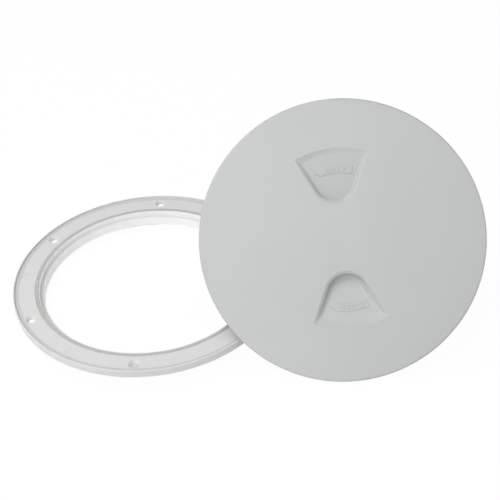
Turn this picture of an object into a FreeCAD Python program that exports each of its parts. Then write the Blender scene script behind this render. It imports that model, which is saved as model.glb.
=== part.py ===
import FreeCAD, Part

import math
import os

from FreeCAD import Rotation, Vector

# Deck inspection plate: a screw-down frame ring, its seal and a round lid.
# The lid is off, standing on its rim and leaning back on the frame's lip.
# Millimetres. Z is up. The origin is on the ring's axis, on the flange's underside,
# which is the plane of the deck that the ring is screwed to.

# Lid, in its own frame: the outer face is at z = 0 and looks along +Z.
lid_thickness = 3.0
rim_depth = 6.0
rim_wall = 2.4
face_edge_radius = 1.2
rim_foot_radius = 1.8
root_radius = 0.8

# The lid's threaded collar, and the rib that presses on the seal.
collar_wall = 3.0
collar_length = 13.5
collar_lead_in = 0.6
thread_room = 1.4
rib_width = 1.8
seal_squeeze = 0.3

# Finger recesses: two sectors of a ring with a round inner end.
recess_to_collar = 11.3
recess_half_angle = 24.3
recess_inner_centre = 40.7
recess_bevel_width = 2.0
recess_bevel_depth = 1.2
recess_lip_width = 0.3
recess_lip_depth = 0.4
recess_ramp_width = 2.9
recess_ramp_depth = 1.2
recess_draft = 7.0
recess_deep_end = 9.5
recess_shallow_end = 0.95
recess_scoop_radius = 3.0
recess_pod_radius = 1.2
recess_wall = 2.4
recess_count = 2

# Frame ring, from its bore outwards: thread wall, open channel, skirt, screws, raised lip.
bore_diameter = 160.0
ledge_width = 2.9
ledge_depth = 4.4
land_height = 6.9
land_wall = 2.6
channel_width = 4.75
channel_roof = 2.3
skirt_wall = 1.9
skirt_length = 12.65
hole_to_skirt = 4.5
hole_to_lip = 7.85
flange_thickness = 4.5
flange_plate = 2.6
flange_foot = 2.2
lip_height = 1.5
lip_width = 0.9
lip_top_radius = 0.4
lid_edge_gap = 0.3
edge_break = 0.4

# Seal ring and its groove, just outside the upper bore.
groove_inner_wall = 0.7
seal_width = 2.65
seal_height = 2.2
seal_proud = 0.2
seal_side_gap = 0.05
seal_edge_radius = 0.5

# Screw holes, and the round marks that the mould's ejector pins leave between them.
hole_count = 6
hole_diameter = 4.8
head_diameter = 8.8
first_hole_angle = 30.0
mark_outside_holes = 0.5
mark_diameter = 8.2
mark_depth = 0.25

# How the lid stands: leaning back on the lip, with its foot on the ground.
lid_tilt = 42.8
lid_turn = -2.45
lid_spin = 7.6
lid_side = 145.0
lean_gap = 0.3

# Radii and heights that follow from the sizes above.
bore_radius = bore_diameter / 2
upper_bore_radius = bore_radius + ledge_width
land_outer_radius = bore_radius + land_wall
skirt_inner_radius = land_outer_radius + channel_width
skirt_radius = skirt_inner_radius + skirt_wall
hole_circle_radius = skirt_radius + hole_to_skirt
mark_circle_radius = hole_circle_radius + mark_outside_holes
lip_inner_radius = hole_circle_radius + hole_to_lip
ring_radius = lip_inner_radius + lip_width
lid_radius = lip_inner_radius - lid_edge_gap
lip_top = flange_thickness + lip_height
ledge_z = flange_thickness - ledge_depth
land_bottom_z = ledge_z - land_height
ground_z = -skirt_length
groove_inner_radius = upper_bore_radius + groove_inner_wall
groove_outer_radius = groove_inner_radius + seal_width + 2 * seal_side_gap
groove_floor_z = flange_thickness + seal_proud - seal_height
collar_radius = bore_radius - thread_room
collar_inner_radius = collar_radius - collar_wall
recess_outer_radius = collar_inner_radius - recess_to_collar
rib_depth = rim_depth - seal_proud + seal_squeeze
rib_radius = (groove_inner_radius + groove_outer_radius) / 2
recess_inner_radius = recess_inner_centre * math.sin(math.radians(recess_half_angle))
recess_inner_end = recess_inner_centre - recess_inner_radius


def rounded_outline(corners):
    """Closed wire in the XZ plane through (x, z, radius) corners, each rounded by its radius."""
    edges = []
    starts = []
    ends = []
    for i, (x, z, radius) in enumerate(corners):
        here = Vector(x, 0, z)
        before = Vector(corners[i - 1][0], 0, corners[i - 1][1])
        after = corners[(i + 1) % len(corners)]
        to_before = (before - here).normalize()
        to_after = (Vector(after[0], 0, after[1]) - here).normalize()
        half_angle = to_before.getAngle(to_after) / 2
        reach = radius / math.tan(half_angle)
        starts.append(here + to_before * reach)
        ends.append(here + to_after * reach)
        if radius > 0:
            bisector = (to_before + to_after).normalize()
            middle = here + bisector * (radius / math.sin(half_angle) - radius)
            edges.append(Part.Arc(starts[-1], middle, ends[-1]).toShape())
    for i in range(len(corners)):
        start = ends[i]
        end = starts[(i + 1) % len(corners)]
        if (end - start).Length > 1e-6:
            edges.append(Part.LineSegment(start, end).toShape())
    return Part.Wire(Part.__sortEdges__(edges))


def turned(corners):
    """Solid of revolution about Z of a rounded outline."""
    face = Part.Face(rounded_outline(corners))
    solid = face.revolve(Vector(0, 0, 0), Vector(0, 0, 1), 360)
    return solid if solid.Volume > 0 else solid.reversed()


def around(count, start_angle, radius):
    """Points evenly spaced on a circle about Z, at z = 0."""
    points = []
    for i in range(count):
        angle = math.radians(start_angle + 360.0 * i / count)
        points.append(Vector(radius * math.cos(angle), radius * math.sin(angle), 0))
    return points


def screw_hole(centre):
    """Clearance hole with a 90 degree countersink that opens at the flange's face."""
    hole_radius = hole_diameter / 2
    head_radius = head_diameter / 2
    sink_depth = head_radius - hole_radius
    hole = Part.makeCylinder(hole_radius, flange_thickness + 2, centre - Vector(0, 0, 1))
    sink_foot = centre + Vector(0, 0, flange_thickness - sink_depth)
    sink = Part.makeCone(hole_radius, head_radius, sink_depth, sink_foot)
    sink_mouth = Part.makeCylinder(head_radius, 1, centre + Vector(0, 0, flange_thickness))
    return hole.fuse([sink, sink_mouth])


def frame_ring():
    """One moulding: flange with a coved outer lip, seal groove, thread wall and outer skirt."""
    channel_z = ledge_z - channel_roof
    plate_z = flange_thickness - flange_plate
    foot_radius = ring_radius - flange_foot
    ring = turned([
        (skirt_inner_radius, ground_z, edge_break),
        (skirt_radius, ground_z, edge_break),
        (skirt_radius, plate_z, root_radius),
        (foot_radius, plate_z, root_radius),
        (foot_radius, 0, edge_break),
        (ring_radius, 0, edge_break),
        (ring_radius, lip_top, lip_top_radius),
        (lip_inner_radius, lip_top, 0),
        (lip_inner_radius, flange_thickness, lip_height * 0.98),
        (groove_outer_radius, flange_thickness, 0),
        (groove_outer_radius, groove_floor_z, 0),
        (groove_inner_radius, groove_floor_z, 0),
        (groove_inner_radius, flange_thickness, 0),
        (upper_bore_radius, flange_thickness, edge_break),
        (upper_bore_radius, ledge_z, edge_break),
        (bore_radius, ledge_z, edge_break),
        (bore_radius, land_bottom_z, edge_break),
        (land_outer_radius, land_bottom_z, edge_break),
        (land_outer_radius, channel_z, root_radius),
        (skirt_inner_radius, channel_z, root_radius),
    ])
    cuts = [screw_hole(p) for p in around(hole_count, first_hole_angle, hole_circle_radius)]
    mark_start = first_hole_angle + 180.0 / hole_count
    mark_z = Vector(0, 0, flange_thickness - mark_depth)
    for centre in around(hole_count, mark_start, mark_circle_radius):
        cuts.append(Part.makeCylinder(mark_diameter / 2, 1, centre + mark_z))
    return ring.cut(cuts)


def seal_ring():
    """Flat seal that fills the groove and stands a little proud of the flange."""
    inner = groove_inner_radius + seal_side_gap
    outer = inner + seal_width
    top = groove_floor_z + seal_height
    return turned([
        (inner, groove_floor_z, 0),
        (outer, groove_floor_z, 0),
        (outer, top, seal_edge_radius),
        (inner, top, seal_edge_radius),
    ])


def recess_outline(inset, z):
    """Outline of a finger recess, moved in by inset at its sides and its round inner end."""
    half = math.radians(recess_half_angle)
    radius = recess_inner_radius - inset
    centre = Vector(0, recess_inner_centre, z)
    corners = []
    tangents = []
    for side in (1, -1):
        along = Vector(side * math.sin(half), math.cos(half), 0)
        tangent = centre + Vector(side * math.cos(half), -math.sin(half), 0) * radius
        flat = Vector(tangent.x, tangent.y, 0)
        middle = flat.dot(along)
        reach = math.sqrt(middle ** 2 + recess_outer_radius ** 2 - flat.dot(flat)) - middle
        tangents.append(tangent)
        corners.append(tangent + along * reach)
    return Part.Wire([
        Part.LineSegment(tangents[0], corners[0]).toShape(),
        Part.Arc(corners[0], Vector(0, recess_outer_radius, z), corners[1]).toShape(),
        Part.LineSegment(corners[1], tangents[1]).toShape(),
        Part.Arc(tangents[1], Vector(0, recess_inner_centre - radius, z), tangents[0]).toShape(),
    ])


def above_floor(drop):
    """Block above a recess's floor, which slopes down to a scooped inner end, lowered by drop."""
    mouth_y = recess_inner_end - drop - recess_bevel_width
    well_y = recess_inner_end - drop + recess_bevel_width
    outer_y = lid_radius
    rise = (recess_deep_end - recess_shallow_end) / (recess_outer_radius - recess_inner_end)
    outer_z = -recess_deep_end + rise * (outer_y - recess_inner_end)
    side = Part.Face(rounded_outline([
        (mouth_y, lid_radius, 0),
        (mouth_y, -recess_bevel_depth - drop, 0),
        (well_y, -recess_bevel_depth - drop, 0),
        (well_y, -recess_deep_end - drop, recess_scoop_radius + drop),
        (outer_y, outer_z - drop, 0),
        (outer_y, lid_radius, 0),
    ]))
    block = side.extrude(Vector(0, 2 * lid_radius, 0))
    block.translate(Vector(0, -lid_radius, 0))
    return block.rotated(Vector(0, 0, 0), Vector(0, 0, 1), 90)


def above_ramp():
    """Round block inside a recess's outer arc: small sharp lip, ramp, then a slope to the floor."""
    ramp_radius = recess_outer_radius - recess_ramp_width
    deep = recess_deep_end
    return turned([
        (0, lid_thickness, 0),
        (recess_outer_radius, lid_thickness, 0),
        (recess_outer_radius, 0, 0),
        (recess_outer_radius - recess_lip_width, -recess_lip_depth, 0),
        (ramp_radius, -recess_ramp_depth, 0),
        (ramp_radius - deep, -recess_ramp_depth - deep, 0),
        (0, -recess_ramp_depth - deep, 0),
    ])


def recess_space():
    """What a finger recess takes out of the lid: bevelled mouth, drafted walls, sloping floor."""
    deep = recess_deep_end + 1
    draft = deep * math.tan(math.radians(recess_draft))
    rim = recess_outline(recess_bevel_width, -recess_bevel_depth)
    foot = recess_outline(recess_bevel_width + draft, -recess_bevel_depth - deep)
    mouth = Part.makeLoft([recess_outline(0, 0), rim], True, True)
    well = Part.makeLoft([rim, foot], True, True)
    return mouth.fuse(well).common(above_floor(0)).common(above_ramp()).removeSplitter()


def recess_pod():
    """The wall round a finger recess, solid, as it stands out below the lid."""
    deep = recess_deep_end + recess_wall + 1
    draft = deep * math.tan(math.radians(recess_draft))
    side = recess_bevel_width - recess_wall
    pod = Part.makeLoft([
        recess_outline(side, -lid_thickness / 2),
        recess_outline(side + draft, -lid_thickness / 2 - deep),
    ], True, True)
    pod = pod.common(above_floor(recess_wall)).removeSplitter()
    return pod.makeFillet(recess_pod_radius, floor_edges(pod))


def floor_edges(solid):
    """Edges of the flat sloping floor of a recess solid."""
    rise = (recess_deep_end - recess_shallow_end) / (recess_outer_radius - recess_inner_end)
    for face in solid.Faces:
        normal = face.normalAt(0, 0)
        on_slope = abs(abs(normal.y) - rise * abs(normal.z)) < 0.02
        if isinstance(face.Surface, Part.Plane) and on_slope and abs(normal.x) < 1e-6:
            if abs(normal.y) > 1e-6:
                return face.Edges
    return []


def lid_at_origin():
    """One moulding: face disc, turned-down rim, pressing rib, threaded collar and recesses."""
    foot = -rim_depth
    under = -lid_thickness
    collar_foot = -lid_thickness - collar_length
    disc = turned([
        (0, 0, 0),
        (lid_radius, 0, face_edge_radius),
        (lid_radius, foot, rim_foot_radius),
        (lid_radius - rim_wall, foot, 0),
        (lid_radius - rim_wall, under, root_radius),
        (rib_radius + rib_width / 2, under, root_radius),
        (rib_radius + rib_width / 2, -rib_depth, rib_width / 4),
        (rib_radius - rib_width / 2, -rib_depth, rib_width / 4),
        (rib_radius - rib_width / 2, under, root_radius),
        (collar_radius, under, root_radius),
        (collar_radius, collar_foot, collar_lead_in),
        (collar_inner_radius, collar_foot, collar_lead_in),
        (collar_inner_radius, under, root_radius),
        (0, under, 0),
    ])
    pods = []
    spaces = []
    for i in range(recess_count):
        turn = 360.0 * i / recess_count
        pods.append(recess_pod().rotated(Vector(0, 0, 0), Vector(0, 0, 1), turn))
        spaces.append(recess_space().rotated(Vector(0, 0, 0), Vector(0, 0, 1), turn))
    return disc.fuse(pods).cut(spaces)


def rim_clearance(centre, turned_by):
    """Least gap between the frame's lip and the lid's rim, with the lid's centre there."""
    back = turned_by.inverted()
    tube_radius = ring_radius - lip_top_radius
    corner_r = lid_radius - rim_foot_radius
    corner_z = -rim_depth + rim_foot_radius
    least = ring_radius
    for step in range(1440):
        angle = math.radians(step / 4)
        on_lip = Vector(tube_radius * math.cos(angle), tube_radius * math.sin(angle),
                        lip_top - lip_top_radius)
        seen = back.multVec(on_lip - centre)
        out = max(math.hypot(seen.x, seen.y) - corner_r, 0)
        below = max(corner_z - seen.z, 0)
        gap = math.hypot(out, below) - rim_foot_radius - lip_top_radius
        least = min(least, gap)
    return least


def lid_place():
    """Rotation and centre of the leaning lid: foot on the ground, rim against the lip."""
    up = Vector(0, 0, 1)
    turned_by = Rotation(up, lid_turn).multiply(Rotation(Vector(1, 0, 0), lid_tilt))
    tilt = math.radians(lid_tilt)
    height = (lid_radius - rim_foot_radius) * math.sin(tilt)
    height += (rim_depth - rim_foot_radius) * math.cos(tilt) + rim_foot_radius
    centre_z = ground_z + height
    near_y = -2 * (ring_radius + lid_radius)
    far_y = 0.0
    for _ in range(40):
        middle_y = (near_y + far_y) / 2
        if rim_clearance(Vector(lid_side, middle_y, centre_z), turned_by) > lean_gap:
            near_y = middle_y
        else:
            far_y = middle_y
    return turned_by.multiply(Rotation(up, lid_spin)), Vector(lid_side, near_y, centre_z)


def lid():
    """The lid where it stands."""
    rotation, centre = lid_place()
    shape = lid_at_origin()
    shape.Placement = FreeCAD.Placement(centre, rotation)
    return shape


def main():
    os.makedirs("parts", exist_ok=True)
    for name, build in (("frame_ring", frame_ring), ("seal_ring", seal_ring), ("lid", lid)):
        shape = build()
        solid = shape.Solids[0] if len(shape.Solids) == 1 else shape
        solid.exportStep("parts/" + name + ".step")
        print(name, "solids", len(shape.Solids), "valid", shape.isValid(), "volume", round(shape.Volume))


main()
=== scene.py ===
import math
from collections import namedtuple

import bmesh
import bpy
from mathutils import Matrix, Vector


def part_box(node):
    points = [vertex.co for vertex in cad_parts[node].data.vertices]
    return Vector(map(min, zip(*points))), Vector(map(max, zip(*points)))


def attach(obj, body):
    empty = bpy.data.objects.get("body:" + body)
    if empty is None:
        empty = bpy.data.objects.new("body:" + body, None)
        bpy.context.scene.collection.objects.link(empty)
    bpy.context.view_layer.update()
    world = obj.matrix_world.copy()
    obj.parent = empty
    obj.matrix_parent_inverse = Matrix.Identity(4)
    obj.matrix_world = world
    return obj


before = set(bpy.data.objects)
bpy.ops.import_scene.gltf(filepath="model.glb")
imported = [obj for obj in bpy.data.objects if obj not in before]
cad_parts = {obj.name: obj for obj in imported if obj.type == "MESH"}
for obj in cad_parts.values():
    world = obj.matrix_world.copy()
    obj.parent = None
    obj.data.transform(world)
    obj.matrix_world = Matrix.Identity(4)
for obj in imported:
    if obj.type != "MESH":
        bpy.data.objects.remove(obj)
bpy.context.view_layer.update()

# Metres and degrees, in the solids' frame: Z up, origin on the ring's axis at deck level.
MM = 0.001
FLOOR_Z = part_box("frame_ring")[0].z

# Camera, fitted to the photograph: its heading is from +Y, lens and sensor in millimetres.
CAMERA_AT = Vector((0.11659, -0.60407, 0.51756))
CAMERA_HEADING = -3.602
CAMERA_DOWN = 38.907
CAMERA_ROLL = 2.977
CAMERA_LENS = 75.15
CAMERA_SENSOR = 36.0
CAMERA_NEAREST = 0.01

# Soft square lamps: name, heading from +X, rise over the ground, watts.
LAMPS = (
    ("key_left", 180, 58, 6.0),
    ("key_front", 240, 58, 3.2),
    ("fill_front", 245, 30, 4.2),
    ("top", 0, 80, 2.6),
)
LAMP_TARGET = Vector((0.12, -0.02, 0.04))
LAMP_DISTANCE = 1.3
LAMP_SIZE = 0.8

# Strength of the even light from all sides.
AMBIENT = 0.44

# White ground: half its width, its own grey, and how far the camera sees it as plain white.
FLOOR_HALF = 6.0
FLOOR_GREY = 0.96
FLOOR_GLOW_SHARE = 0.965

# How the lid stands, as in the solids.
LID_CENTRE = Vector((0.145, -0.02471, 0.05984))
LID_TILT = 42.8
LID_TURN = -2.45
LID_SPIN = 7.6

# Sizes of the lid that the moulded details follow.
COLLAR_RADIUS = 78.6 * MM
COLLAR_TOP = -3.0 * MM
RECESS_INNER_END = 23.95 * MM
RECESS_OUTER = 64.3 * MM
RECESS_INNER_CENTRE = 40.7 * MM
RECESS_HALF_ANGLE = 24.3

# A finger recess's inner surface: a rounded shoulder, a steep wall and a rounded foot round a
# sloping floor. Shoulder and foot are radii, walls are in degrees, and deep and shallow are the
# floor's depths at its inner and outer end. Left and right are seen from the lid's middle. The
# photograph shows a softer left wall and a deeper floor in the lower recess, marked CLOSE.
Recess = namedtuple("Recess", "shoulder wall_left wall_right foot_left foot_right deep shallow")
RECESSES = {
    "open": Recess(2.3 * MM, 83, 83, 2.0 * MM, 2.0 * MM, 6.65 * MM, 0.67 * MM),
    "close": Recess(3.1 * MM, 53, 83, 5.0 * MM, 3.0 * MM, 8.1 * MM, 0.8 * MM),
}

# Between these places along X the left side's form passes into the right's.
SIDES_CHANGE = (-16.0 * MM, -8.0 * MM)

# The shoulder's arc starts at this slope, so the mouth keeps an edge. The foot's radius is at
# most this share of the floor's depth. Halvings say how finely a depth is found.
SHOULDER_START = 17.0
FOOT_LIMIT = 0.9
DEPTH_HALVINGS = 16

# A small lip and a ramp go down from a recess's outer arc. Past its width the ramp is steeper.
LIP_WIDTH = 0.35 * MM
LIP_DEPTH = 0.25 * MM
RAMP_SLOPE = 0.36
RAMP_WIDTH = 1.8 * MM
RAMP_FOOT_SLOPE = 0.42
RAMP_BLEND = 0.3 * MM

# The surface is a thin shell of rings that shrink from the recess's rim to a middle point, in
# fine steps near the rim and coarse ones further in. Rim steps are those of a straight side.
SURFACE_OFF_SOLID = 0.03 * MM
SURFACE_THICKNESS = 0.5 * MM
SURFACE_MIDDLE = 46.0 * MM
SURFACE_REACH = 18.9 * MM
SURFACE_FINE_STEP = 0.12 * MM
SURFACE_FINE_RINGS = 48
SURFACE_COARSE_RINGS = 10
RIM_STEPS = 20

# Moulded arrows in the finger recesses. The head has one barb, on its inner side.
ARROW_INNER = 46.7 * MM
ARROW_OUTER = 52.5 * MM
ARROW_HALF_ANGLE = 15.7
ARROW_HEAD_ANGLE = 6.5
ARROW_BARB = 0.7 * MM
ARROW_BARB_SWEEP = 0.6
ARROW_HEIGHT = 0.4 * MM
ARROW_ROOT = 0.4 * MM
ARROW_EDGE = 0.2 * MM
ARROW_STEPS = 24

# Their words, the side each arrow points to, -1 for left and 1 for right, and the first letter's
# angle and the step to the next, clockwise from the recess's middle line.
Marking = namedtuple("Marking", "word point_side first_letter letter_step")
MARKINGS = {
    "open": Marking("OPEN", -1, -4.9, 4.2),
    "close": Marking("CLOSE", 1, -10.4, 3.95),
}

# Letters: a capital's height, its share of the font's size, how far they stand out, and their
# bevel.
LETTER_HEIGHT = 3.2 * MM
LETTER_SHARE_OF_SIZE = 0.69
LETTER_PROUD = 0.15 * MM
LETTER_EDGE = 0.05 * MM

# Thread ridge on the lid's collar: its start, course, section, rounding and steps.
THREAD_TOP = COLLAR_TOP - 3.2 * MM
THREAD_PITCH = 6.0 * MM
THREAD_TURNS = 1.6
THREAD_PROUD = 1.1 * MM
THREAD_ROOT_WIDTH = 2.6 * MM
THREAD_CREST_WIDTH = 1.0 * MM
THREAD_SUNK = 0.2 * MM
THREAD_EDGE = 0.3 * MM
THREAD_STEPS_A_TURN = 144
THREAD_TAPER_STEPS = 18

# Points closer than this are one, and bends below these angles are shaded smooth. On the
# solids a face's size counts this strongly in the shading, 100 being the most.
SAME_POINT = 1e-6
SMOOTH_BELOW = 32
RECESS_SMOOTH_BELOW = 50
FACE_SIZE_WEIGHT = 100

# Arrows and thread are rounded where they bend more than this. The lid's edges are rounded in
# its shading only.
ROUND_ABOVE = 35
ROUND_SEGMENTS = 2
LID_EDGE = 1.0 * MM
LID_EDGE_SAMPLES = 6

# Each material's shade and the one that clouds or mottles it.
RING_SHADES = ((0.668, 0.668, 0.668, 1.0), (0.638, 0.638, 0.638, 1.0))
LID_SHADES = ((0.459, 0.466, 0.467, 1.0), (0.435, 0.442, 0.443, 1.0))
# The letters' colour is a shade lighter than the lid's.
LETTER_SHADES = ((0.545, 0.553, 0.553, 1.0), (0.50, 0.508, 0.508, 1.0))
SEAL_SHADES = ((0.43, 0.43, 0.41, 1.0), (0.48, 0.48, 0.46, 1.0))

# Dark specks: their shade and how strongly they show.
SPECK_SHADE = (0.25, 0.24, 0.23, 1.0)
RING_SPECKS = 0.3
LID_SPECKS = 0.6
LETTER_SPECKS = 0.0

# Each plastic's middle roughness, and how far the polish goes below and above it.
RING_ROUGHNESS = 0.38
LID_ROUGHNESS = 0.36
SMOOTHER = 0.04
ROUGHER = 0.05
PLASTIC_IOR = 1.5

# Painted light: the ring's thin upright walls inside this radius get a whiter colour, so they
# look brightly lit. Below the skirt's top the painted light reaches this much further out.
PAINTED_LIGHT_RADIUS = 83.7 * MM
SKIRT_TOP = 1.9 * MM
SKIRT_FURTHER = 6.0 * MM
PAINTED_LIGHT_SHADE = (0.985, 0.985, 0.95, 1.0)

# How far light spreads inside the ring's plastic, and the share of it for red, green and blue.
LIGHT_REACH = 0.3 * MM
LIGHT_REACH_SHARES = (1.0, 1.0, 0.95)

# Painted shade darkens the cove inside the ring's lip: its middle radius, half its width, the
# shade and how strongly it shows.
COVE_MIDDLE = 99.9 * MM
COVE_HALF_WIDTH = 1.6 * MM
COVE_PAINTED_SHADE = (0.5, 0.5, 0.5, 1.0)
COVE_AMOUNT = 0.6

# Patterns in the plastics: features in a metre, and how strongly they show.
CLOUDS = 18.0
CLOUD_AMOUNT = 0.5
GRAIN = 900.0
GRAIN_AMOUNT = 0.35
SPECK_CELLS = 95.0
SPECK_SHARE_OF_CELL = 0.045
SPECK_PATCHES = 60.0
POLISH = 40.0
TOOL_TEXTURE = 2200.0
TOOL_TEXTURE_STRENGTH = 0.08
TOOL_TEXTURE_DEPTH = 0.08 * MM

# Patterns in the rubber, likewise.
MOTTLE = 250.0
MOTTLE_AMOUNT = 0.7
DUST = 700.0
RUBBER_SMOOTHEST = 0.62
RUBBER_ROUGHEST = 0.78
RUBBER_TEXTURE = 1800.0
RUBBER_TEXTURE_STRENGTH = 0.15
RUBBER_TEXTURE_DEPTH = 0.1 * MM


def lid_matrix():
    """Placement of the lid: from its own frame, with the face's middle as origin."""
    turn = Matrix.Rotation(math.radians(LID_TURN), 4, "Z")
    tilt = Matrix.Rotation(math.radians(LID_TILT), 4, "X")
    spin = Matrix.Rotation(math.radians(LID_SPIN), 4, "Z")
    return Matrix.Translation(LID_CENTRE) @ turn @ tilt @ spin


def recess_places():
    """Name and frame of each finger recess; its middle line is +Y from the lid's middle."""
    upper = lid_matrix()
    return ("open", upper), ("close", upper @ Matrix.Rotation(math.pi, 4, "Z"))


def link(name, data):
    """Adds an object to the scene."""
    made = bpy.data.objects.new(name, data)
    bpy.context.scene.collection.objects.link(made)
    return made


def add_lid_piece(name, mesh, place, material):
    """Places a mesh as a piece of the lid that rides on the one body."""
    mesh.transform(place)
    piece = link(name, mesh)
    mesh.materials.clear()
    mesh.materials.append(material)
    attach(piece, "root")
    return piece


def mesh_from(name, build):
    """Mesh made by a function that fills a bmesh."""
    work = bmesh.new()
    build(work)
    bmesh.ops.recalc_face_normals(work, faces=work.faces)
    mesh = bpy.data.meshes.new(name)
    work.to_mesh(mesh)
    work.free()
    return mesh


def shade_faces(mesh, smooth):
    """Sets every face smooth or flat."""
    for polygon in mesh.polygons:
        polygon.use_smooth = smooth


def node(tree, kind, **properties):
    """Adds a node with those properties."""
    made = tree.nodes.new(kind)
    for key, value in properties.items():
        setattr(made, key, value)
    return made


def calculate(tree, operation, *values):
    """Result of a calculation on numbers and other nodes' results."""
    made = node(tree, "ShaderNodeMath", operation=operation)
    for socket, value in zip(made.inputs, values):
        if isinstance(value, float):
            socket.default_value = value
        else:
            tree.links.new(value, socket)
    return made.outputs[0]


def grey_ramp(tree, factor, stops):
    """Colour ramp through (position, grey) stops."""
    ramp = node(tree, "ShaderNodeValToRGB")
    for element, (position, grey) in zip(ramp.color_ramp.elements, stops):
        element.position = position
        element.color = (grey, grey, grey, 1.0)
    tree.links.new(factor, ramp.inputs["Fac"])
    return ramp.outputs["Color"]


def tint(tree, base, factor, shade, amount):
    """Mixes base, a colour or a node's result, towards shade by factor times amount."""
    mix = node(tree, "ShaderNodeMix", data_type="RGBA")
    # The colour sockets come after those for numbers and directions.
    first, second = mix.inputs[6], mix.inputs[7]
    tree.links.new(calculate(tree, "MULTIPLY", factor, amount), mix.inputs["Factor"])
    if isinstance(base, tuple):
        first.default_value = base
    else:
        tree.links.new(base, first)
    second.default_value = shade
    return mix.outputs[2]


def noise(tree, coordinates, scale, detail):
    """Noise at a scale in features per metre; detail is how many finer layers it has."""
    made = node(tree, "ShaderNodeTexNoise")
    made.inputs["Scale"].default_value = scale
    made.inputs["Detail"].default_value = detail
    tree.links.new(coordinates, made.inputs["Vector"])
    return made.outputs["Fac"]


def fine_texture(tree, height, strength, depth):
    """Bump that follows a height pattern."""
    texture = node(tree, "ShaderNodeBump")
    texture.inputs["Strength"].default_value = strength
    texture.inputs["Distance"].default_value = depth
    tree.links.new(height, texture.inputs["Height"])
    return texture


def height_of(tree, vector):
    """Z of a point or a direction."""
    split = node(tree, "ShaderNodeSeparateXYZ")
    tree.links.new(vector, split.inputs[0])
    return split.outputs["Z"]


def radius_of(tree, point):
    """A point's distance from the ring's axis."""
    flat = node(tree, "ShaderNodeVectorMath", operation="MULTIPLY")
    flat.inputs[1].default_value = (1, 1, 0)
    tree.links.new(point, flat.inputs[0])
    length = node(tree, "ShaderNodeVectorMath", operation="LENGTH")
    tree.links.new(flat.outputs[0], length.inputs[0])
    return length.outputs["Value"]


def painted_light_share(tree, places):
    """Painted light: up to 1 on the upright walls round the ring's opening and the skirt, else 0."""
    point = places.outputs["Object"]
    below = calculate(tree, "LESS_THAN", height_of(tree, point), SKIRT_TOP)
    limit = calculate(tree, "MULTIPLY_ADD", below, SKIRT_FURTHER, PAINTED_LIGHT_RADIUS)
    inside = calculate(tree, "LESS_THAN", radius_of(tree, point), limit)
    level = calculate(tree, "ABSOLUTE", height_of(tree, places.outputs["Normal"]))
    upright = calculate(tree, "SUBTRACT", 1.0, level)
    return calculate(tree, "MULTIPLY", inside, upright)


def paint_ring_light_and_shade(tree, places, base):
    """Painted light on the ring's thin walls and painted shade in its cove, over its plain shade."""
    base = tint(tree, base, painted_light_share(tree, places), PAINTED_LIGHT_SHADE, 1.0)
    radius = radius_of(tree, places.outputs["Object"])
    # Painted shade in the cove.
    cove = calculate(tree, "COMPARE", radius, COVE_MIDDLE, COVE_HALF_WIDTH)
    return tint(tree, base, cove, COVE_PAINTED_SHADE, COVE_AMOUNT)


def specks(tree, coordinates):
    """1 in scattered pin-point specks, 0 elsewhere."""
    cells = node(tree, "ShaderNodeTexVoronoi")
    cells.inputs["Scale"].default_value = SPECK_CELLS
    tree.links.new(coordinates, cells.inputs["Vector"])
    points = grey_ramp(tree, cells.outputs["Distance"], [(0.0, 1.0), (SPECK_SHARE_OF_CELL, 0.0)])
    patches = noise(tree, coordinates, SPECK_PATCHES, 1.0)
    chosen = grey_ramp(tree, patches, [(0.55, 0.0), (0.62, 1.0)])
    return calculate(tree, "MULTIPLY", points, chosen)


def new_material(name):
    """A material with its node tree and its shader."""
    material = bpy.data.materials.new(name)
    material.use_nodes = True
    tree = material.node_tree
    return material, tree, tree.nodes["Principled BSDF"]


def moulded_plastic(name, shades, roughness, speck_amount, edge_radius=0, is_ring=False):
    """Satin moulded plastic: faint clouding, pin-point specks, fine tool texture."""
    material, tree, shader = new_material(name)
    places = node(tree, "ShaderNodeTexCoord")
    coordinates = places.outputs["Object"]

    shade, cloud_shade = shades
    clouds = grey_ramp(tree, noise(tree, coordinates, CLOUDS, 2.0), [(0.35, 0.0), (0.65, 1.0)])
    base = tint(tree, shade, clouds, cloud_shade, CLOUD_AMOUNT)
    base = tint(tree, base, noise(tree, coordinates, GRAIN, 2.0), cloud_shade, GRAIN_AMOUNT)
    # The ring gets painted light on its thin walls and painted shade in its cove.
    if is_ring:
        base = paint_ring_light_and_shade(tree, places, base)
    base = tint(tree, base, specks(tree, coordinates), SPECK_SHADE, speck_amount)
    tree.links.new(base, shader.inputs["Base Color"])

    polish = grey_ramp(tree, noise(tree, coordinates, POLISH, 4.0),
                       [(0.3, roughness - SMOOTHER), (0.7, roughness + ROUGHER)])
    tree.links.new(polish, shader.inputs["Roughness"])
    shader.inputs["IOR"].default_value = PLASTIC_IOR
    if is_ring:
        shader.inputs["Subsurface Weight"].default_value = 1.0
        shader.inputs["Subsurface Radius"].default_value = LIGHT_REACH_SHARES
        shader.inputs["Subsurface Scale"].default_value = LIGHT_REACH

    texture = fine_texture(tree, noise(tree, coordinates, TOOL_TEXTURE, 2.0),
                           TOOL_TEXTURE_STRENGTH, TOOL_TEXTURE_DEPTH)
    if edge_radius:
        rounded = node(tree, "ShaderNodeBevel", samples=LID_EDGE_SAMPLES)
        rounded.inputs["Radius"].default_value = edge_radius
        tree.links.new(rounded.outputs["Normal"], texture.inputs["Normal"])
    tree.links.new(texture.outputs["Normal"], shader.inputs["Normal"])
    return material


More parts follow.
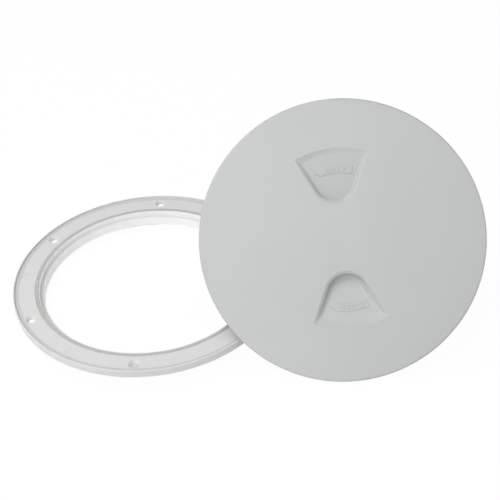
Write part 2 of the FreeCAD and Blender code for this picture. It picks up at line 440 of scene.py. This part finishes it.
def seal_rubber():
    """Grey rubber, matt, with a slightly dusty mottle."""
    material, tree, shader = new_material("seal_rubber")
    coordinates = node(tree, "ShaderNodeTexCoord").outputs["Object"]
    shade, mottle_shade = SEAL_SHADES
    mottle = grey_ramp(tree, noise(tree, coordinates, MOTTLE, 4.0), [(0.35, 0.0), (0.7, 1.0)])
    base = tint(tree, shade, mottle, mottle_shade, MOTTLE_AMOUNT)
    tree.links.new(base, shader.inputs["Base Color"])
    rough = grey_ramp(tree, noise(tree, coordinates, DUST, 2.0),
                      [(0.3, RUBBER_SMOOTHEST), (0.7, RUBBER_ROUGHEST)])
    tree.links.new(rough, shader.inputs["Roughness"])
    texture = fine_texture(tree, noise(tree, coordinates, RUBBER_TEXTURE, 3.0),
                           RUBBER_TEXTURE_STRENGTH, RUBBER_TEXTURE_DEPTH)
    tree.links.new(texture.outputs["Normal"], shader.inputs["Normal"])
    return material


def repaint(node_name, material):
    """Gives a solid's mesh its material, and smooth shading weighted by face size."""
    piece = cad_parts[node_name]
    piece.data.materials.clear()
    piece.data.materials.append(material)
    shade_smooth(piece, SMOOTH_BELOW)
    weighted = piece.modifiers.new("weighted", "WEIGHTED_NORMAL")
    weighted.keep_sharp = True
    weighted.weight = FACE_SIZE_WEIGHT


def shade_smooth(piece, angle):
    """Smooth shading over edges below an angle."""
    smooth = piece.modifiers.new("smooth", "NODES")
    smooth.node_group = smooth_group(angle)


def smooth_group(angle):
    """Geometry nodes that shade faces smooth and keep edges sharper than an angle."""
    group = bpy.data.node_groups.new("smooth_by_angle", "GeometryNodeTree")
    for direction in ("INPUT", "OUTPUT"):
        group.interface.new_socket("Geometry", in_out=direction, socket_type="NodeSocketGeometry")
    start = node(group, "NodeGroupInput")
    end = node(group, "NodeGroupOutput")
    merge = node(group, "GeometryNodeMergeByDistance")
    merge.inputs["Distance"].default_value = SAME_POINT
    faces = node(group, "GeometryNodeSetShadeSmooth")
    edges = node(group, "GeometryNodeSetShadeSmooth", domain="EDGE")
    bend = node(group, "GeometryNodeInputMeshEdgeAngle")
    below = node(group, "FunctionNodeCompare", operation="LESS_THAN")
    below.inputs[1].default_value = math.radians(angle)
    group.links.new(bend.outputs["Unsigned Angle"], below.inputs[0])
    group.links.new(start.outputs[0], merge.inputs["Geometry"])
    group.links.new(merge.outputs["Geometry"], faces.inputs["Geometry"])
    group.links.new(faces.outputs["Geometry"], edges.inputs["Geometry"])
    group.links.new(below.outputs["Result"], edges.inputs["Shade Smooth"])
    group.links.new(edges.outputs["Geometry"], end.inputs[0])
    return group


def round_edges(piece, width):
    """Small rounded edges."""
    bevel = piece.modifiers.new("edges", "BEVEL")
    bevel.width = width
    bevel.segments = ROUND_SEGMENTS
    bevel.limit_method = "ANGLE"
    bevel.angle_limit = math.radians(ROUND_ABOVE)


def on_arc(radius, degrees):
    """Point of a recess at that radius and that angle clockwise from its middle line."""
    angle = math.radians(degrees)
    return Vector((radius * math.sin(angle), radius * math.cos(angle), 0))


def floor_height(form, y):
    """Height of a recess's sloping floor, in the lid's frame."""
    slope = (form.deep - form.shallow) / (RECESS_OUTER - RECESS_INNER_END)
    return -form.deep + slope * (y - RECESS_INNER_END)


def shallower(a, b, blend):
    """The smaller of two depths, with a rounded passage from one to the other."""
    near = max(blend - abs(a - b), 0) / blend
    return min(a, b) - near * near * blend / 4


def side_distance(x, y):
    """How far a point lies inside a recess's radial sides and round inner end."""
    half = math.radians(RECESS_HALF_ANGLE)
    along = abs(x) * math.sin(half) + y * math.cos(half)
    if along >= RECESS_INNER_CENTRE * math.cos(half):
        return y * math.sin(half) - abs(x) * math.cos(half)
    return RECESS_INNER_CENTRE * math.sin(half) - math.hypot(x, y - RECESS_INNER_CENTRE)


def room_to_wall(form, inside, depth, steep):
    """Distance from the rounded shoulder and the wall below it, in a section across the side."""
    start = math.radians(SHOULDER_START)
    across = inside + form.shoulder * math.sin(start)
    above = form.shoulder * math.cos(start) - depth
    if math.atan2(across, above) < steep:
        return math.hypot(across, above) - form.shoulder
    return across * math.sin(steep) + above * math.cos(steep) - form.shoulder


def side_depth(form, inside, floor, share):
    """Depth at a distance inside the side, over a floor that deep; share is 0 left, 1 right.

    The depth is found by halving: above it lies room, below it the wall, the foot or the floor.
    """
    steep = math.radians(form.wall_left + share * (form.wall_right - form.wall_left))
    foot = min(form.foot_left + share * (form.foot_right - form.foot_left), FOOT_LIMIT * floor)
    low, high = 0.0, floor
    for _ in range(DEPTH_HALVINGS):
        depth = (low + high) / 2
        from_wall = max(foot - room_to_wall(form, inside, depth, steep), 0)
        from_floor = max(foot - (floor - depth), 0)
        if math.hypot(from_wall, from_floor) < foot:
            low = depth
        else:
            high = depth
    return low


def recess_depth(form, x, y):
    """Depth of a recess's surface below the lid's face."""
    from_arc = max(RECESS_OUTER - math.hypot(x, y), 0)
    ramp = min(from_arc / LIP_WIDTH, 1) * LIP_DEPTH + max(from_arc - LIP_WIDTH, 0) * RAMP_SLOPE
    ramp += max(from_arc - RAMP_WIDTH, 0) * (RAMP_FOOT_SLOPE - RAMP_SLOPE)
    left, right = SIDES_CHANGE
    share = min(max((x - left) / (right - left), 0), 1)
    side = side_depth(form, max(side_distance(x, y), 0), -floor_height(form, y), share)
    return max(shallower(side, ramp, RAMP_BLEND) - SURFACE_OFF_SOLID, 0)


def recess_rim(count):
    """Points round a recess's mouth: right side, outer arc, left side and inner end.

    A side has count of them, the arc twice and the inner end three times as many.
    """
    half = math.radians(RECESS_HALF_ANGLE)
    start = RECESS_INNER_CENTRE * math.cos(half)
    radius = RECESS_INNER_CENTRE * math.sin(half)
    points = []
    for i in range(count):
        reach = start + (RECESS_OUTER - start) * i / count
        points.append(Vector((reach * math.sin(half), reach * math.cos(half), 0)))
    for i in range(2 * count):
        points.append(on_arc(RECESS_OUTER, RECESS_HALF_ANGLE * (1 - i / count)))
    for i in range(count):
        reach = RECESS_OUTER - (RECESS_OUTER - start) * i / count
        points.append(Vector((-reach * math.sin(half), reach * math.cos(half), 0)))
    sweep = math.pi - 2 * half
    for i in range(3 * count):
        angle = math.pi + half + sweep * i / (3 * count)
        x = radius * math.cos(angle)
        y = RECESS_INNER_CENTRE + radius * math.sin(angle)
        points.append(Vector((x, y, 0)))
    return points


def recess_surface(form):
    """Closed thin shell whose upper side is a recess's surface, in the lid's frame."""
    fine = [SURFACE_FINE_STEP * i for i in range(SURFACE_FINE_RINGS)]
    rest = SURFACE_REACH - fine[-1]
    coarse = [fine[-1] + rest * i / SURFACE_COARSE_RINGS for i in range(1, SURFACE_COARSE_RINGS)]
    middle = Vector((0, SURFACE_MIDDLE, 0))
    rim = recess_rim(RIM_STEPS)
    loops = [[p.lerp(middle, distance / SURFACE_REACH) for p in rim] for distance in fine + coarse]
    for loop in loops:
        for p in loop:
            p.z = -recess_depth(form, p.x, p.y)
    middle.z = -recess_depth(form, middle.x, middle.y)

    def build(work):
        outer = []
        for drop in (0, SURFACE_THICKNESS):
            rings = [[work.verts.new((p.x, p.y, p.z - drop)) for p in loop] for loop in loops]
            hub = work.verts.new((middle.x, middle.y, middle.z - drop))
            for i in range(len(rim)):
                j = i - 1
                for a, b in zip(rings, rings[1:]):
                    work.faces.new((a[i], a[j], b[j], b[i]))
                work.faces.new((rings[-1][i], rings[-1][j], hub))
            outer.append(rings[0])
        top, low = outer
        for i in range(len(rim)):
            work.faces.new((top[i], top[i - 1], low[i - 1], low[i]))
    return mesh_from("recess", build)


def add_recesses(material):
    """The softly shaped inner surface of each finger recess."""
    for name, place in recess_places():
        mesh = recess_surface(RECESSES[name])
        shade_faces(mesh, smooth=True)
        piece = add_lid_piece("recess_" + name, mesh, place, material)
        shade_smooth(piece, RECESS_SMOOTH_BELOW)


def arrow_outline(point_side):
    """Outline of an arrow bent along the recess; point_side is -1 for left and 1 for right."""
    tail = ARROW_HALF_ANGLE
    neck = -ARROW_HALF_ANGLE + ARROW_HEAD_ANGLE
    middle = (ARROW_INNER + ARROW_OUTER) / 2
    outline = []
    for i in range(ARROW_STEPS + 1):
        outline.append(on_arc(ARROW_OUTER, tail + (neck - tail) * i / ARROW_STEPS))
    outline.append(on_arc(middle, -ARROW_HALF_ANGLE))
    outline.append(on_arc(ARROW_INNER - ARROW_BARB, neck - ARROW_BARB_SWEEP))
    for i in range(ARROW_STEPS + 1):
        outline.append(on_arc(ARROW_INNER, neck + (tail - neck) * i / ARROW_STEPS))
    if point_side > 0:
        outline = [Vector((-p.x, p.y, 0)) for p in reversed(outline)]
    return outline


def arrow_mesh(form, point_side):
    """Raised arrow that follows the sloping floor."""
    def build(work):
        top = []
        for p in arrow_outline(point_side):
            top.append(work.verts.new((p.x, p.y, floor_height(form, p.y) + ARROW_HEIGHT)))
        face = work.faces.new(top)
        grown = bmesh.ops.extrude_face_region(work, geom=[face])
        low = [g for g in grown["geom"] if isinstance(g, bmesh.types.BMVert)]
        bmesh.ops.translate(work, verts=low, vec=(0, 0, -ARROW_HEIGHT - ARROW_ROOT))
    return mesh_from("arrow", build)


def letter_mesh(letter):
    """One raised letter, as a mesh on the XY plane, centred on x."""
    curve = bpy.data.curves.new("letter", "FONT")
    curve.body = letter
    curve.align_x = "CENTER"
    curve.size = LETTER_HEIGHT / LETTER_SHARE_OF_SIZE
    curve.extrude = LETTER_PROUD
    curve.bevel_depth = LETTER_EDGE
    curve.bevel_resolution = 1
    holder = bpy.data.objects.new("letter", curve)
    mesh = bpy.data.meshes.new_from_object(holder)
    shade_faces(mesh, smooth=False)
    bpy.data.objects.remove(holder)
    bpy.data.curves.remove(curve)
    return mesh


def word_mesh(form, marking):
    """A word bent along the recess, its letters standing on the arrow's top."""
    work = bmesh.new()
    base = (ARROW_INNER + ARROW_OUTER - LETTER_HEIGHT) / 2
    slope = math.atan(floor_height(form, 1.0) - floor_height(form, 0.0))
    for i, letter in enumerate(marking.word):
        degrees = marking.first_letter + marking.letter_step * i
        foot = on_arc(base, degrees)
        top = floor_height(form, foot.y + LETTER_HEIGHT / 2) + ARROW_HEIGHT
        place = Matrix.Translation((foot.x, foot.y, top))
        place = place @ Matrix.Rotation(math.radians(-degrees), 4, "Z")
        place = place @ Matrix.Rotation(slope, 4, "X")
        mesh = letter_mesh(letter)
        mesh.transform(place)
        work.from_mesh(mesh)
        bpy.data.meshes.remove(mesh)
    mesh = bpy.data.meshes.new("word")
    work.to_mesh(mesh)
    work.free()
    return mesh


def add_markings(material, letter_material):
    """An arrow and its word on the floor of each finger recess; the letters are a lighter shade."""
    for name, place in recess_places():
        form = RECESSES[name]
        marking = MARKINGS[name]
        arrow = arrow_mesh(form, marking.point_side)
        round_edges(add_lid_piece("arrow_" + name, arrow, place, material), ARROW_EDGE)
        add_lid_piece("word_" + name, word_mesh(form, marking), place, letter_material)


def thread_mesh():
    """Helical ridge round the lid's collar, tapering in at both ends, in the lid's frame."""
    def build(work):
        count = round(THREAD_TURNS * THREAD_STEPS_A_TURN)
        root = COLLAR_RADIUS - THREAD_SUNK
        rings = []
        for i in range(count + 1):
            fade = min(1.0, i / THREAD_TAPER_STEPS, (count - i) / THREAD_TAPER_STEPS)
            angle = 2 * math.pi * i / THREAD_STEPS_A_TURN
            z = THREAD_TOP - THREAD_PITCH * i / THREAD_STEPS_A_TURN
            out = COLLAR_RADIUS + THREAD_PROUD * fade
            section = ((root, THREAD_ROOT_WIDTH / 2), (out, THREAD_CREST_WIDTH / 2),
                       (out, -THREAD_CREST_WIDTH / 2), (root, -THREAD_ROOT_WIDTH / 2))
            ring = []
            for r, dz in section:
                ring.append(work.verts.new((r * math.cos(angle), r * math.sin(angle), z + dz)))
            rings.append(ring)
        for a, b in zip(rings, rings[1:]):
            for k in range(4):
                work.faces.new((a[k], a[(k + 1) % 4], b[(k + 1) % 4], b[k]))
        work.faces.new(rings[0])
        work.faces.new(reversed(rings[-1]))
    return mesh_from("thread", build)


def add_thread(material):
    """The lid's thread ridge, on the collar."""
    mesh = thread_mesh()
    shade_faces(mesh, smooth=True)
    round_edges(add_lid_piece("lid_thread", mesh, lid_matrix(), material), THREAD_EDGE)


def blend_shaders(tree, output, share, first, second):
    """Sends a blend of two shaders to an output: all first at share 0, all second at 1."""
    mix = node(tree, "ShaderNodeMixShader")
    tree.links.new(share, mix.inputs["Fac"])
    tree.links.new(first.outputs[0], mix.inputs[1])
    tree.links.new(second.outputs[0], mix.inputs[2])
    tree.links.new(mix.outputs[0], node(tree, output).inputs["Surface"])


def floor_white():
    """White that holds a soft shadow; the camera and reflections see it nearly plain."""
    material, tree, _ = new_material("floor")
    tree.nodes.clear()
    diffuse = node(tree, "ShaderNodeBsdfDiffuse")
    diffuse.inputs["Color"].default_value = (FLOOR_GREY, FLOOR_GREY, FLOOR_GREY, 1.0)
    glow = node(tree, "ShaderNodeEmission")
    glow.inputs["Strength"].default_value = 1.0
    path = node(tree, "ShaderNodeLightPath").outputs
    seen = calculate(tree, "MAXIMUM", path["Is Camera Ray"], path["Is Glossy Ray"])
    share = calculate(tree, "MULTIPLY", seen, FLOOR_GLOW_SHARE)
    blend_shaders(tree, "ShaderNodeOutputMaterial", share, diffuse, glow)
    return material


def add_floor():
    """Ground that the ring and the lid stand on."""
    mesh = bpy.data.meshes.new("floor")
    sides = ((-1, -1), (1, -1), (1, 1), (-1, 1))
    corners = [(x * FLOOR_HALF, y * FLOOR_HALF, FLOOR_Z) for x, y in sides]
    mesh.from_pydata(corners, [], [(0, 1, 2, 3)])
    mesh.materials.append(floor_white())
    link("floor", mesh)


def add_world():
    """Even studio light that the camera sees as white."""
    world = bpy.data.worlds.new("studio")
    world.use_nodes = True
    tree = world.node_tree
    tree.nodes.clear()
    ambient = node(tree, "ShaderNodeBackground")
    ambient.inputs["Color"].default_value = (1, 1, 1, 1)
    ambient.inputs["Strength"].default_value = AMBIENT
    white = node(tree, "ShaderNodeBackground")
    white.inputs["Color"].default_value = (1, 1, 1, 1)
    seen = node(tree, "ShaderNodeLightPath").outputs["Is Camera Ray"]
    blend_shaders(tree, "ShaderNodeOutputWorld", seen, ambient, white)
    bpy.context.scene.world = world


def add_lamps():
    """Two high soft keys from the left and the left front, a low front fill and a top lamp."""
    for name, heading, rise, watts in LAMPS:
        heading = math.radians(heading)
        rise = math.radians(rise)
        level = math.cos(rise)
        out = Vector((level * math.cos(heading), level * math.sin(heading), math.sin(rise)))
        lamp = bpy.data.lights.new(name, "AREA")
        lamp.shape = "SQUARE"
        lamp.size = LAMP_SIZE
        lamp.energy = watts
        holder = link(name, lamp)
        holder.location = LAMP_TARGET + out * LAMP_DISTANCE
        holder.rotation_euler = (-out).to_track_quat("-Z", "Y").to_euler()


def add_camera():
    """The photograph's view."""
    heading = math.radians(CAMERA_HEADING)
    down = math.radians(CAMERA_DOWN)
    level = math.cos(down)
    look = Vector((math.sin(heading) * level, math.cos(heading) * level, -math.sin(down)))
    across = look.cross(Vector((0, 0, 1))).normalized()
    rise = across.cross(look)
    roll = math.radians(CAMERA_ROLL)
    right = across * math.cos(roll) - rise * math.sin(roll)
    up = right.cross(look)
    camera = bpy.data.cameras.new("camera")
    camera.lens = CAMERA_LENS
    camera.sensor_width = CAMERA_SENSOR
    camera.clip_start = CAMERA_NEAREST
    holder = link("camera", camera)
    turn = Matrix((right, up, -look)).transposed().to_4x4()
    holder.matrix_world = Matrix.Translation(CAMERA_AT) @ turn
    bpy.context.scene.camera = holder


ring_plastic = moulded_plastic("ring_plastic", RING_SHADES, RING_ROUGHNESS, RING_SPECKS, is_ring=True)
lid_plastic = moulded_plastic("lid_plastic", LID_SHADES, LID_ROUGHNESS, LID_SPECKS, LID_EDGE)
recess_plastic = moulded_plastic("recess_plastic", LID_SHADES, LID_ROUGHNESS, LID_SPECKS)
letter_plastic = moulded_plastic("letter_plastic", LETTER_SHADES, LID_ROUGHNESS, LETTER_SPECKS)
repaint("frame_ring", ring_plastic)
repaint("lid", lid_plastic)
repaint("seal_ring", seal_rubber())
add_recesses(recess_plastic)
add_markings(recess_plastic, letter_plastic)
add_thread(lid_plastic)
add_floor()
add_world()
add_lamps()
add_camera()
bpy.context.scene.view_settings.view_transform = "Standard"
